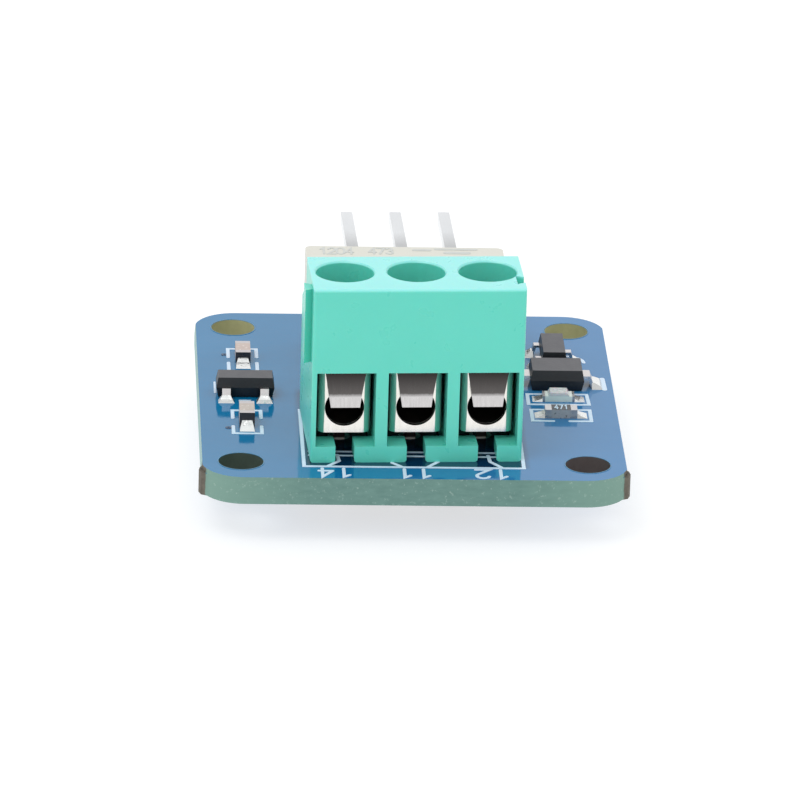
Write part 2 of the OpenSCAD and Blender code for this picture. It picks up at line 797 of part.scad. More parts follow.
module transistor_lead_shapes() {
    for (x = [-1, 1])
        translate([x * lead_pitch / 2, 0, 0])
            rotate([0, 0, 180])
                gull_lead(lead_w, transistor_w, transistor_h, lead_reach);
    gull_lead(lead_w, transistor_w, transistor_h, lead_reach);
}

module transistor_body() difference() {
    moulded_body(transistor_l, transistor_w, transistor_h);
    transistor_lead_shapes();
}

module diode_lead_shapes() for (turn = [90, 270])
    rotate([0, 0, turn]) gull_lead(diode_lead_w, diode_l, diode_h, diode_reach);

module chip_middle(h, end = chip_end) block(chip_w, chip_l - 2 * end, h);

module chip_ends(h, end = chip_end) for (y = [-1, 1])
    translate([0, y * (chip_l - end) / 2, 0])
        block(chip_w, end, h);

module at_left_transistor() at_part(left_x, switch_y) children();
module at_right_transistor() at_part(right_x, driver_y, 270) children();
module at_diode() at_part(right_x, diode_y) children();
module at_filter() at_part(left_x, filter_y) children();
module at_supply() at_part(left_x, supply_y) children();
module at_resistor() at_part(right_x, resistor_y, 90) children();
module at_lamp() at_part(right_x, lamp_y, 90) children();

module left_transistor_body() color("#2b2f33") at_left_transistor() transistor_body();
module left_transistor_leads() color("#c9ccd0") at_left_transistor() transistor_lead_shapes();
module right_transistor_body() color("#2b2f33") at_right_transistor() transistor_body();
module right_transistor_leads() color("#c9ccd0") at_right_transistor() transistor_lead_shapes();

module diode_body() color("#2b2f33") at_diode() difference() {
    moulded_body(diode_l, diode_w, diode_h);
    diode_lead_shapes();
}

module diode_leads() color("#c9ccd0") at_diode() diode_lead_shapes();

module filter_capacitor_body() color("#b79f8a") at_filter() chip_middle(filter_h);
module filter_capacitor_ends() color("#d4d4d2") at_filter() chip_ends(filter_h);
module supply_capacitor_body() color("#9b8874") at_supply() chip_middle(supply_h);
module supply_capacitor_ends() color("#d4d4d2") at_supply() chip_ends(supply_h);
module resistor_body() color("#26282c") at_resistor() chip_middle(resistor_h);
module resistor_ends() color("#d4d4d2") at_resistor() chip_ends(resistor_h);

module lamp_base() color("#b9c9b4") at_lamp() chip_middle(lamp_base_h, lamp_end);
module lamp_ends() color("#d4d4d2") at_lamp() chip_ends(lamp_base_h, lamp_end);

// Lens with sloping ends on the lamp's base
module lamp_lens() color("#eeeadb") at_lamp() side_profile(chip_w, [
    [-lamp_lens_l / 2, lamp_base_h],
    [lamp_lens_l / 2, lamp_base_h],
    [lamp_lens_l / 2 - draft, lamp_h],
    [-lamp_lens_l / 2 + draft, lamp_h]
]);

// ---- solder ----

// Fillets at both ends of a chip part, narrower where they climb its end
module chip_fillets(h, reach = fillet_l) for (turn = [0, 180]) rotate([0, 0, turn]) intersection() {
    side_profile(2 * chip_w, [
        [chip_l / 2, 0],
        [chip_l / 2 + reach, 0],
        [chip_l / 2 + reach / 3, h / 4],
        [chip_l / 2, h / 2]
    ]);
    front_profile(2 * (chip_l + reach), [
        [-chip_w / 2, 0],
        [chip_w / 2, 0],
        [chip_w / 3, h / 2],
        [-chip_w / 3, h / 2]
    ]);
}

// Solder round the foot of a lead that points to +Y
module foot_solder(w, body_w, h, reach) difference() {
    foot = body_w / 2 + reach / 2;
    toe = body_w / 2 + reach;
    intersection() {
        side_profile(w + 2 * over, [
            [foot, 0],
            [toe + lead_t, 0],
            [toe, lead_t * 4 / 3],
            [foot + lead_t, solder_climb],
            [foot, solder_climb]
        ]);
        front_profile(2 * toe + over, [
            [-w / 2 - solder_side, 0],
            [w / 2 + solder_side, 0],
            [w / 2, solder_climb],
            [-w / 2, solder_climb]
        ]);
    }
    gull_lead(w, body_w, h, reach);
}

module transistor_solder() {
    for (x = [-1, 1])
        translate([x * lead_pitch / 2, 0, 0])
            rotate([0, 0, 180])
                foot_solder(lead_w, transistor_w, transistor_h, lead_reach);
    foot_solder(lead_w, transistor_w, transistor_h, lead_reach);
}

module surface_solder() color("#d9dadb") {
    at_filter() chip_fillets(filter_h, filter_fillet_l);
    at_supply() chip_fillets(supply_h);
    at_resistor() chip_fillets(resistor_h);
    at_lamp() chip_fillets(lamp_base_h);
    at_left_transistor() transistor_solder();
    at_right_transistor() transistor_solder();
    at_diode() for (turn = [90, 270]) rotate([0, 0, turn]) foot_solder(diode_lead_w, diode_l, diode_h, diode_reach);
}

// Solder in a plated hole and its cone below the board
module solder_joint(hole) {
    translate([0, 0, -board_t]) cylinder(d = hole, h = board_t);
    translate([0, 0, -board_t - solder_h]) cylinder(d1 = hole, d2 = hole + 2 * ring_w, h = solder_h);
}

module through_hole_solder() color("#c9ccd0") difference() {
    union() {
        at_terminal() for (i = POLES) translate([pole_x(i), tail_depth, 0]) solder_joint(terminal_hole_d);
        at_relay() for (x = relay_pins, y = [-pin_y, pin_y]) translate([x, y, 0]) solder_joint(relay_hole_d);
        at_header() for (i = POLES) translate([header_pin_x(i), 0, 0]) solder_joint(header_hole_d);
    }
    at_terminal() for (i = POLES) translate([pole_x(i), 0, 0]) tail();
    at_relay() for (side = [FRONT, BACK]) {
        coil_lead(side);
        break_lead(side);
        common_lead(side);
        make_lead(side);
    }
    at_header() for (i = POLES) header_pin_shape(i);
}

pcb();
terminal_housing();
terminal_cage(0);  // terminal_cage_1
terminal_cage(1);  // terminal_cage_2
terminal_cage(2);  // terminal_cage_3
wire_guard(0);  // wire_guard_1
wire_guard(1);  // wire_guard_2
wire_guard(2);  // wire_guard_3
terminal_screw(0);  // terminal_screw_1
terminal_screw(1);  // terminal_screw_2
terminal_screw(2);  // terminal_screw_3
relay_cover();
relay_base();
coil_bobbin();
coil_winding();
coil_core();
coil_magnet();
armature();
spring_carrier();
contact_spring(FRONT);  // contact_spring_front
contact_spring(BACK);  // contact_spring_back
coil_terminal(FRONT);  // coil_terminal_front
coil_terminal(BACK);  // coil_terminal_back
break_terminal(FRONT);  // break_terminal_front
break_terminal(BACK);  // break_terminal_back
common_terminal(FRONT);  // common_terminal_front
common_terminal(BACK);  // common_terminal_back
make_terminal(FRONT);  // make_terminal_front
make_terminal(BACK);  // make_terminal_back
header_insulator();
header_pin_piece(0);  // header_pin_1
header_pin_piece(1);  // header_pin_2
header_pin_piece(2);  // header_pin_3
left_transistor_body();
left_transistor_leads();
right_transistor_body();
right_transistor_leads();
diode_body();
diode_leads();
filter_capacitor_body();
filter_capacitor_ends();
supply_capacitor_body();
supply_capacitor_ends();
resistor_body();
resistor_ends();
lamp_base();
lamp_lens();
lamp_ends();
surface_solder();
through_hole_solder();
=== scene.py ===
"""Looks of the relay module board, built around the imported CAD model.

Blender's objects are in metres, in the CAD's frame. Places and widths that the functions take are in
millimetres in that same frame, and turn into metres where they meet Blender.
"""
import json
import math

import bmesh
import bpy
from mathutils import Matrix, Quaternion, Vector


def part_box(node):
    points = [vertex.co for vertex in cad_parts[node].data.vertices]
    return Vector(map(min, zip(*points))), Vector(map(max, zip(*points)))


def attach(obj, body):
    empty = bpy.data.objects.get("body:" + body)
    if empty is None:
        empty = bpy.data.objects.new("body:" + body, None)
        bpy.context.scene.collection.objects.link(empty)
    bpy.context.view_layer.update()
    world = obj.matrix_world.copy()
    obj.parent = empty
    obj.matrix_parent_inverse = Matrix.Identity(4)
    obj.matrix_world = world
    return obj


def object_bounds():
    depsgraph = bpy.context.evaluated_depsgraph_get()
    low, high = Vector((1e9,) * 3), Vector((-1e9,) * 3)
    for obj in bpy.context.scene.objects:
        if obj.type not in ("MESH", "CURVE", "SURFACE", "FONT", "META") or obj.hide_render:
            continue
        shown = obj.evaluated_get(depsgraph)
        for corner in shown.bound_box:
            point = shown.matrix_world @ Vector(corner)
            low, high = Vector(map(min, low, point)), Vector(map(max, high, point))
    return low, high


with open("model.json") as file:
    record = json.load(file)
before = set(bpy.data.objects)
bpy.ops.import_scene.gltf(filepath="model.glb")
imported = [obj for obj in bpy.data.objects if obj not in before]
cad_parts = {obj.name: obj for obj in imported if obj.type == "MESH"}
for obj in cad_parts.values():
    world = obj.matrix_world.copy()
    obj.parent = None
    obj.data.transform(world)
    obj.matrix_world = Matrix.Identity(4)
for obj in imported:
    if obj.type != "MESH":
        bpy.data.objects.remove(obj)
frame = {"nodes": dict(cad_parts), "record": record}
cad_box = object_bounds()

MM = 0.001
ROOT = "board"


def box_mm(node):
    """Lowest and highest corner of a node at rest, in millimetres."""
    low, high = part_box(node)
    return low / MM, high / MM


# The board's upper face, in metres for the meshes and in millimetres for the materials
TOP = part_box("pcb")[1].z
BOARD_TOP = TOP / MM
# The mounting holes: their offsets from the origin and their radius
HOLES = next(m["dims"] for m in frame["record"]["mounts"] if m["name"] == "mounting_holes")
HOLE_X = HOLES["spacing_x_mm"] / 2
HOLE_Y = HOLES["spacing_y_mm"] / 2
HOLE_R = HOLES["hole_r_mm"]
# Each pair below holds the places between which one look of the board passes over into another.
# The mask's two blues, the fibre's two greens, and the holes' walls, in painted shade at the front and
# painted light at the back, on either side of an axis:
MASK_PALER_X = (-6, 8)
FIBRE_PALER_X = (5, 10.4)
HOLES_APART = (-2, 2)
# The snapped side edges, and the torn stubs that stand out at their front ends:
EDGE_X = (10.3, 10.4)
EDGE_ENDS_Y = (9.6, 9.0)
STUB_X = (10.3, 10.36)
STUB_Y = (9.1, 9.2)
# The shade round the terminal block, and the share of the mask's colour that it takes where it's full:
SHADE_SIDE = (5.7, 5.2)
SHADE_FRONT = (-9.95, -9.55)
SHADE_BACK = (1.0, 0.0)
SHADE_SHARE = 0.9
# The terminal block stands a little turned on the board: its cages' fronts lie on a line of this slope
FIRST_CAGE = box_mm("terminal_cage_1")[0]
LAST_CAGE = box_mm("terminal_cage_3")[0]
SLOPE = (LAST_CAGE.y - FIRST_CAGE.y) / (LAST_CAGE.x - FIRST_CAGE.x)
# Where that line crosses x = 0, the crease of the wire guards and the block's top
CAGE_FRONT = box_mm("terminal_cage_2")[0].y + 0.06
GUARD_CREASE = box_mm("wire_guard_2")[0].z + 0.58
BLOCK_TOP = box_mm("terminal_housing")[1].z
# The back of the header's insulator, where its pins come out
PIN_FOOT = box_mm("header_insulator")[1].y
# Every material by the name it was asked for: Blender renames one whose name the CAD has already taken
LOOKS = {}


# ---- node helpers ----

def linear(*rgb):
    """Linear colour from 0-255 display values."""
    shares = [c / 255 for c in rgb]
    return tuple(s / 12.92 if s <= 0.04045 else ((s + 0.055) / 1.055) ** 2.4 for s in shares)


class Graph:
    """A material's node tree, with short calls for the nodes that the materials below use.

    A colour is a socket or three display values from 0 to 255.
    """

    def __init__(self, name):
        self.material = bpy.data.materials.new(name)
        LOOKS[name] = self.material
        self.material.use_nodes = True
        self.nodes = self.material.node_tree.nodes
        self.links = self.material.node_tree.links
        self.shader = self.nodes["Principled BSDF"]
        self.position = self.add("ShaderNodeTexCoord").outputs["Object"]

    def add(self, kind, **values):
        node = self.nodes.new(kind)
        for key, value in values.items():
            setattr(node, key, value)
        return node

    def plug(self, socket, value):
        if isinstance(value, bpy.types.NodeSocket):
            self.links.new(value, socket)
        else:
            socket.default_value = value

    def fixed(self, **values):
        """Constants on the shader's own sockets; underscores stand for spaces."""
        for key, value in values.items():
            self.shader.inputs[key.replace("_", " ")].default_value = value

    def set(self, socket, value):
        self.plug(self.shader.inputs[socket], value)

    def scaled(self, x, y, z):
        """The position with its axes scaled; a larger scale packs the marks closer along that axis."""
        node = self.add("ShaderNodeMapping")
        self.links.new(self.position, node.inputs["Vector"])
        node.inputs["Scale"].default_value = (x, y, z)
        return node.outputs["Vector"]

    def noise(self, scale, detail, vector=None):
        node = self.add("ShaderNodeTexNoise")
        self.links.new(vector or self.position, node.inputs["Vector"])
        node.inputs["Scale"].default_value = scale
        node.inputs["Detail"].default_value = detail
        node.inputs["Roughness"].default_value = 0.55
        return node.outputs["Fac"]

    def ramp(self, value, *stops):
        """Grey ramp between two stops, each (place, grey)."""
        node = self.add("ShaderNodeValToRGB")
        self.links.new(value, node.inputs["Fac"])
        for element, (place, grey) in zip(node.color_ramp.elements, stops):
            element.position = place
            element.color = (grey, grey, grey, 1)
        return node.outputs["Color"]

    def math(self, operation, a, b=0.0):
        node = self.add("ShaderNodeMath", operation=operation)
        self.plug(node.inputs[0], a)
        self.plug(node.inputs[1], b)
        return node.outputs[0]

    def product(self, first, *others):
        for other in others:
            first = self.math("MULTIPLY", first, other)
        return first

    def mix(self, factor, a, b):
        node = self.add("ShaderNodeMix", data_type="RGBA")
        self.plug(node.inputs["Factor"], factor)
        for socket, colour in (("A", a), ("B", b)):
            is_socket = isinstance(colour, bpy.types.NodeSocket)
            self.plug(node.inputs[socket], colour if is_socket else (*linear(*colour), 1))
        return node.outputs["Result"]

    def step(self, value, low, high):
        """0 to 1 as a length in metres goes from low to high, both in millimetres."""
        node = self.add("ShaderNodeMapRange", clamp=True)
        self.links.new(value, node.inputs["Value"])
        node.inputs["From Min"].default_value = low * MM
        node.inputs["From Max"].default_value = high * MM
        return node.outputs["Result"]

    def ragged(self, value, noise, reach):
        """A length in metres pushed up by the noise, by reach millimetres at most, for ragged edges."""
        return self.math("ADD", value, self.product(noise, reach * MM))

    def split(self, vector):
        node = self.add("ShaderNodeSeparateXYZ")
        self.links.new(vector, node.inputs[0])
        return node.outputs

    def facing_up(self, low=0.6, high=0.8):
        """1 on faces that look straight up or down, 0 on upright ones."""
        normal = self.split(self.add("ShaderNodeNewGeometry").outputs["Normal"])
        return self.ramp(self.math("ABSOLUTE", normal["Z"]), (low, 0.0), (high, 1.0))

    def rough(self, noise, low, high):
        """Roughness from low to high over the middle of the noise's range."""
        self.set("Roughness", self.ramp(noise, (0.3, low), (0.7, high)))

    def bump(self, height, depth, strength):
        """Relief of a depth in millimetres."""
        node = self.add("ShaderNodeBump")
        node.inputs["Distance"].default_value = depth * MM
        node.inputs["Strength"].default_value = strength
        self.links.new(height, node.inputs["Height"])
        self.links.new(node.outputs["Normal"], self.shader.inputs["Normal"])


# ---- materials of the board ----

def mask_colour(g, x, y, side):
    """Blue mask, paler towards the right, and dark where the terminal block keeps the light off."""
    depth = g.noise(260, 3)
    left = g.mix(depth, (4, 106, 154), (12, 116, 166))
    right = g.mix(depth, (40, 112, 164), (52, 122, 176))
    mask = g.mix(g.step(x, *MASK_PALER_X), left, right)
    near_block = g.product(g.step(side, *SHADE_SIDE), g.step(y, *SHADE_FRONT), g.step(y, *SHADE_BACK))
    return g.mix(g.product(near_block, SHADE_SHARE), mask, (4, 30, 58))


def fibre_colour(g, side, front):
    """Grey-green glass fibre with flecks, paler towards the sides and palest on the snapped edges."""
    strands = g.noise(1500, 5, g.scaled(1, 1, 2.6))
    fibre = g.mix(strands, (78, 114, 108), (110, 146, 138))
    fibre = g.mix(g.step(side, *FIBRE_PALER_X), fibre, (118, 152, 140))
    flecks = g.ramp(g.noise(6500, 3), (0.62, 0.0), (0.72, 0.45))
    fibre = g.mix(flecks, fibre, (166, 188, 178))
    snapped = g.product(g.step(side, *EDGE_X), g.step(front, *EDGE_ENDS_Y))
    return g.mix(snapped, fibre, (150, 180, 178))


def hole_wall_light_and_shade(g, x, y):
    """Walls of the mounting holes, in painted shade at the front, where they differ a little, and olive
    with painted light at the back, where light falls through.
    """
    streaks = g.noise(1800, 4)
    # Painted shade on the front walls; the back walls below carry painted light, where light falls through
    # the holes
    shaded_front_left = g.mix(streaks, (42, 58, 50), (60, 76, 64))
    shaded_front_right = g.mix(streaks, (64, 56, 56), (84, 76, 74))
    back = g.mix(streaks, (146, 146, 106), (176, 174, 130))
    front = g.mix(g.step(x, *HOLES_APART), shaded_front_left, shaded_front_right)
    return g.mix(g.step(y, *HOLES_APART), front, back)


def from_hole(g, side, front):
    """Distance in metres from the axis of the nearest mounting hole."""
    across = g.math("SUBTRACT", side, HOLE_X * MM)
    along = g.math("SUBTRACT", front, HOLE_Y * MM)
    return g.math("SQRT", g.math("ADD", g.product(across, across), g.product(along, along)))


def solder_mask():
    """Glossy blue mask on the faces and bare glass fibre on the cut edges, torn at the front stubs."""
    g = Graph("solder_mask")
    g.fixed(IOR=1.5)
    x, y, z = g.split(g.position)
    side = g.math("ABSOLUTE", x)
    front = g.math("ABSOLUTE", y)
    stub = g.step(g.ragged(side, g.noise(1400, 4), 0.2), *STUB_X)
    torn = g.product(stub, g.step(g.product(y, -1.0), *STUB_Y))
    torn_colour = g.mix(g.noise(4000, 4), (58, 52, 46), (118, 112, 100))
    edges = g.mix(torn, fibre_colour(g, side, front), torn_colour)
    in_hole = g.step(from_hole(g, side, front), HOLE_R + 0.15, HOLE_R + 0.05)
    # The hole walls carry painted shade at the front and painted light at the back
    edges = g.mix(in_hole, edges, hole_wall_light_and_shade(g, x, y))
    below_mask = g.step(z, BOARD_TOP - 0.02, BOARD_TOP - 0.05)
    up = g.product(g.facing_up(0.75, 0.9), g.math("SUBTRACT", 1.0, g.product(torn, below_mask)))
    g.set("Base Color", g.mix(up, edges, mask_colour(g, x, y, side)))
    g.set("Roughness", g.ramp(up, (0.0, 0.75), (1.0, 0.09)))
    g.bump(g.mix(up, g.noise(2400, 4), g.noise(700, 2)), 0.04, 0.25)


# ---- materials of the terminal block ----

def block_plastic():
    """The terminal block's plastic, with a painted highlight making it paler along its top."""
    g = Graph("terminal_plastic")
    g.fixed(IOR=1.5, Subsurface_Weight=0.12, Subsurface_Scale=0.6 * MM)
    _, _, z = g.split(g.position)
    flow = g.noise(500, 4)
    body = g.mix(flow, (88, 203, 184), (95, 208, 190))
    # Painted highlight: the top is paler and more washed out because of how the light falls on it
    painted_top_highlight = g.mix(flow, (138, 222, 218), (150, 229, 226))
    g.set("Base Color", g.mix(g.step(z, BLOCK_TOP - 0.14, BLOCK_TOP - 0.02), body, painted_top_highlight))
    g.rough(g.noise(1000, 3), 0.26, 0.36)
    g.bump(g.noise(3000, 2), 0.01, 0.4)


def cage_metal():
    """Bright plating on the front and the tails of the clamp cages, and dark painted shade within them,
    where the metal is also rougher and less metallic.
    """
    g = Graph("plated_steel")
    marks = g.noise(900, 5, g.scaled(6, 1, 1))
    x, y, z = g.split(g.position)
    behind = g.math("SUBTRACT", y, g.product(x, SLOPE))
    above = g.step(z, BOARD_TOP - 0.1, BOARD_TOP + 0.1)
    # Painted shade: the cage is darkened behind its front plate, above the board
    shaded_inside = g.product(above, g.step(behind, CAGE_FRONT + 0.12, CAGE_FRONT + 0.4))
    bright = g.mix(marks, (226, 222, 214), (246, 243, 238))
    # Colour of the painted shade within the cages
    dark = g.mix(marks, (26, 22, 18), (44, 38, 32))
    g.set("Base Color", g.mix(shaded_inside, bright, dark))
    g.set("Metallic", g.ramp(shaded_inside, (0.0, 1.0), (1.0, 0.35)))
    g.set("Roughness", g.ramp(shaded_inside, (0.0, 0.16), (1.0, 0.5)))
    g.bump(marks, 0.006, 0.5)


def guard_metal():
    """Drawn steel of the wire guards, with a painted highlight on the lip below the crease and painted
    shade darkening above it.
    """
    g = Graph("guard_steel")
    g.fixed(Metallic=1.0)
    streaks = g.noise(1500, 5, g.scaled(6, 1, 0.6))
    _, _, z = g.split(g.position)
    # Painted highlight on the lip, and painted shade on the leaf above the crease, darkest highest up
    lip = g.mix(streaks, (190, 188, 188), (226, 224, 224))
    shaded_low_leaf = g.mix(streaks, (82, 79, 78), (112, 108, 107))
    deep_shaded_leaf = g.mix(streaks, (26, 24, 24), (46, 43, 42))
    high_up = g.step(g.ragged(z, streaks, 0.4), GUARD_CREASE + 0.2, GUARD_CREASE + 1.5)
    above = g.step(g.ragged(z, streaks, 0.1), GUARD_CREASE - 0.05, GUARD_CREASE + 0.12)
    g.set("Base Color", g.mix(above, lip, g.mix(high_up, shaded_low_leaf, deep_shaded_leaf)))
    g.rough(streaks, 0.16, 0.32)
    g.bump(streaks, 0.006, 0.6)


# ---- other materials ----

def plastic(name, colour, second, roughness, grain=500, through=0.0):
    """Moulded plastic or print: faint flow marks and a fine texture; through lets light into it."""
    g = Graph(name)
    g.fixed(IOR=1.5, Subsurface_Weight=through, Subsurface_Scale=0.6 * MM)
    g.set("Base Color", g.mix(g.noise(grain, 4), colour, second))
    g.rough(g.noise(grain * 2, 3), roughness * 0.85, roughness * 1.2)
    g.bump(g.noise(grain * 6, 2), 0.01, 0.4)


def metal(name, colour, second, roughness, grain=(1, 1, 1)):
    """Plated or drawn metal; grain packs the marks closer along an axis."""
    g = Graph(name)
    g.fixed(Metallic=1.0)
    marks = g.noise(900, 5, g.scaled(*grain))
    g.set("Base Color", g.mix(marks, colour, second))
    g.rough(marks, roughness * 0.7, roughness * 1.3)
    g.bump(marks, 0.006, 0.5)


def tin(name, colour, second, shaded, roughness, dapple):
    """Tin on a part's ends: bright on top, dark on the upright sides that see only the board."""
    g = Graph(name)
    g.fixed(Metallic=0.8)
    marks = g.noise(3200, 4)
    g.set("Base Color", g.mix(g.facing_up(0.35, 0.75), shaded, g.mix(marks, colour, second)))
    g.rough(marks, roughness * 0.7, roughness * 1.3)
    g.bump(g.noise(4200, 3), dapple, 0.8)


def pin_metal():
    """Tinned pins: bright towards their ends, greyed by painted shade towards the insulator."""
    g = Graph("tinned_pins")
    g.fixed(Metallic=1.0)
    marks = g.noise(900, 5, g.scaled(1, 0.2, 1))
    _, y, _ = g.split(g.position)
    open_end = g.mix(marks, (212, 215, 218), (236, 238, 240))
    # Painted shade greys the pins towards the insulator
    shaded_foot = g.mix(marks, (176, 178, 180), (204, 205, 206))
    shade_near_foot = g.step(g.ragged(y, marks, 0.8), PIN_FOOT + 5.2, PIN_FOOT + 3.2)
    g.set("Base Color", g.mix(shade_near_foot, open_end, shaded_foot))
    g.rough(marks, 0.15, 0.29)
    g.bump(marks, 0.006, 0.5)


def ceramic(name, colour, second, fleck, roughness, sides=None):
    """Fired ceramic with flecks; sides is the colour of the upright faces, where it's another one."""
    g = Graph(name)
    g.fixed(IOR=1.55)
    base = g.mix(g.noise(2500, 4), colour, second)
    if sides:
        base = g.mix(g.facing_up(), sides, base)
    g.set("Base Color", g.mix(g.ramp(g.noise(7000, 2), (0.6, 0.0), (0.68, 1.0)), base, fleck))
    g.rough(g.noise(3000, 3), roughness * 0.8, roughness * 1.2)
    g.bump(g.noise(5000, 3), 0.008, 0.5)


def epoxy():
    """Moulding compound of the small parts: near black, with a painted grey sheen on top."""
    g = Graph("component_epoxy")
    g.fixed(IOR=1.5)
    grain = g.noise(1500, 4)
    # Painted sheen: faces that look up or down are grey, the upright ones near black
    sides = g.mix(grain, (12, 15, 22), (22, 25, 32))
    g.set("Base Color", g.mix(g.facing_up(), sides, g.mix(grain, (62, 62, 68), (80, 80, 86))))
    g.rough(grain, 0.34, 0.46)
    g.bump(g.noise(9000, 2), 0.02, 0.4)


def build_materials():
    """The record's slots first, then the looks that only this script uses."""
    solder_mask()
    block_plastic()
    cage_metal()
    guard_metal()
    metal("screw_steel", (186, 188, 190), (214, 214, 214), 0.25, grain=(1, 8, 1))
    plastic("relay_white", (206, 204, 194), (212, 211, 202), 0.4)
    plastic("relay_dark", (40, 42, 46), (52, 54, 58), 0.5)
    metal("copper_wire", (178, 96, 48), (214, 128, 72), 0.3, grain=(60, 1, 1))
    metal("soft_iron", (120, 122, 126), (150, 152, 156), 0.35)
    ceramic("magnet", (52, 54, 58), (66, 68, 72), (96, 98, 102), 0.5)
    metal("contact_alloy", (196, 168, 108), (222, 196, 140), 0.25)
    plastic("header_plastic", (22, 23, 26), (34, 35, 38), 0.5)
    pin_metal()
    epoxy()
    metal("component_tin", (196, 192, 192), (236, 233, 233), 0.3)
    ceramic("capacitor_ceramic", (184, 166, 158), (202, 186, 180), (222, 212, 208), 0.5)
    ceramic("resistor_ceramic", (34, 35, 42), (48, 49, 56), (78, 79, 86), 0.3,
            sides=(160, 160, 166))
    plastic("lamp_substrate", (212, 221, 217), (228, 234, 230), 0.4, grain=2000)
    plastic("lamp_resin", (200, 198, 202), (222, 220, 222), 0.25, grain=1500, through=0.3)
    tin("solder", (222, 224, 224), (246, 247, 246), (150, 150, 148), 0.18, dapple=0.03)
    # These two tins differ mostly in how much shade is painted on their upright sides, the second lighter
    tin("chip_tin", (186, 180, 182), (214, 209, 210), (74, 70, 72), 0.35, dapple=0.01)
    tin("lightly_shaded_tin", (200, 198, 200), (226, 224, 225), (168, 168, 172), 0.35, dapple=0.01)
    plastic("ink", (196, 216, 236), (214, 230, 246), 0.5, grain=3000)
    plastic("grey_ink", (186, 188, 186), (206, 208, 204), 0.6, grain=3000)
    # Painted shade for the vias' dimples
    plastic("via_shade", (8, 46, 82), (16, 66, 104), 0.2, grain=3000)
    plastic("rim", (70, 124, 160), (96, 146, 178), 0.4, grain=3000)


# ---- printed lines ----

INK_T = 0.02 * MM
# Each stroke stands a hair taller for every point already in its mesh, so that crossings share no face
STROKE_RISE = 1e-9
# Steps of the half circle at a line's end, and a mitre's least cosine, which keeps sharp corners short
CAP_STEPS = 6
MITRE_LIMIT = 0.3


def prism(bm, outline, low, high):
    """Upright prism over an outline in millimetres, between two heights in metres."""
    bottom = [bm.verts.new((p.x * MM, p.y * MM, low)) for p in outline]
    top = [bm.verts.new((p.x * MM, p.y * MM, high)) for p in outline]
    bm.faces.new(list(reversed(bottom)))
    bm.faces.new(top)
    for i in range(len(outline)):
        j = (i + 1) % len(outline)
        bm.faces.new((bottom[i], bottom[j], top[j], top[i]))


def ring(bm, outer, inner, low, high):
    """Closed line between two outlines of as many points each, between two heights in metres."""
    levels = []
    for z in (low, high):
        levels.append([[bm.verts.new((p.x * MM, p.y * MM, z)) for p in line] for line in (outer, inner)])
    (low_out, low_in), (high_out, high_in) = levels
    for i in range(len(outer)):
        j = (i + 1) % len(outer)
        bm.faces.new((high_out[i], high_out[j], high_in[j], high_in[i]))
        bm.faces.new((low_out[i], low_in[i], low_in[j], low_out[j]))
        bm.faces.new((low_out[i], low_out[j], high_out[j], high_out[i]))
        bm.faces.new((low_in[i], high_in[i], high_in[j], low_in[j]))


def sideways(before, point, after, half):
    """From a line's point to its left rim: half its width, mitred where the line has both neighbours."""
    a = (point - before).normalized() if before is not None else None
    b = (after - point).normalized() if after is not None else None
    if a is None or b is None:
        along = b if a is None else a
        return Vector((-along.y, along.x)) * half
    mean = Vector((-(a.y + b.y), a.x + b.x)).normalized()
    return mean * (half / max(MITRE_LIMIT, mean.dot(Vector((-b.y, b.x)))))


def cap(centre, start):
    """Points of a round line end, from start half a turn clockwise round centre, without its ends."""
    arm = start - centre
    turned = []
    for k in range(1, CAP_STEPS):
        c = math.cos(-math.pi * k / CAP_STEPS)
        s = math.sin(-math.pi * k / CAP_STEPS)
        turned.append(centre + Vector((arm.x * c - arm.y * s, arm.x * s + arm.y * c)))
    return turned


def stroke(bm, points, width, z=TOP, closed=False):
    """Flat printed line through points in millimetres, with mitred corners and round ends."""
    high = z + INK_T + len(bm.verts) * STROKE_RISE
    line = [Vector(p) for p in points]
    left, right = [], []
    for i, point in enumerate(line):
        before = line[i - 1] if i or closed else None
        after = line[(i + 1) % len(line)] if i < len(line) - 1 or closed else None
        side = sideways(before, point, after, width / 2)
        left.append(point + side)
        right.append(point - side)
    if closed:
        ring(bm, left, right, z, high)
    else:
        outline = left + cap(line[-1], left[-1]) + right[::-1] + cap(line[0], right[0])
        prism(bm, outline[::-1], z, high)


def arc(x, y, r, start, end, steps):
    """Points of an arc about (x, y), between two angles in degrees."""
    angles = [math.radians(start + (end - start) * k / steps) for k in range(steps + 1)]
    return [(x + r * math.cos(angle), y + r * math.sin(angle)) for angle in angles]


def circle_line(bm, x, y, outer_r, inner_r, count):
    """Closed round line on the board, of count points, between two radii in millimetres."""
    last = 360 - 360 / count
    outer, inner = ([Vector(p) for p in arc(x, y, r, 0, last, count - 1)] for r in (outer_r, inner_r))
    ring(bm, outer, inner, TOP, TOP + INK_T)


# Strokes of plain digits in a box one high and DIGIT_W wide
DIGIT_W = 0.6
ARC_STEPS = 14
DIGITS = {
    "0": [arc(0.3, 0.7, 0.3, 0, 180, ARC_STEPS) + arc(0.3, 0.3, 0.3, 180, 360, ARC_STEPS) + [(0.6, 0.7)]],
    "1": [[(0.1, 0.78), (0.35, 1.0), (0.35, 0.0)]],
    "2": [arc(0.3, 0.72, 0.28, 165, -35, ARC_STEPS) + [(0.0, 0.0), (0.6, 0.0)]],
    "3": [arc(0.3, 0.75, 0.25, 150, -80, ARC_STEPS), arc(0.3, 0.27, 0.28, 85, -150, ARC_STEPS)],
    "4": [[(0.45, 0.0), (0.45, 1.0), (0.0, 0.3)], [(0.0, 0.3), (0.6, 0.3)]],
    "7": [[(0.0, 1.0), (0.6, 1.0), (0.2, 0.0)]],
}


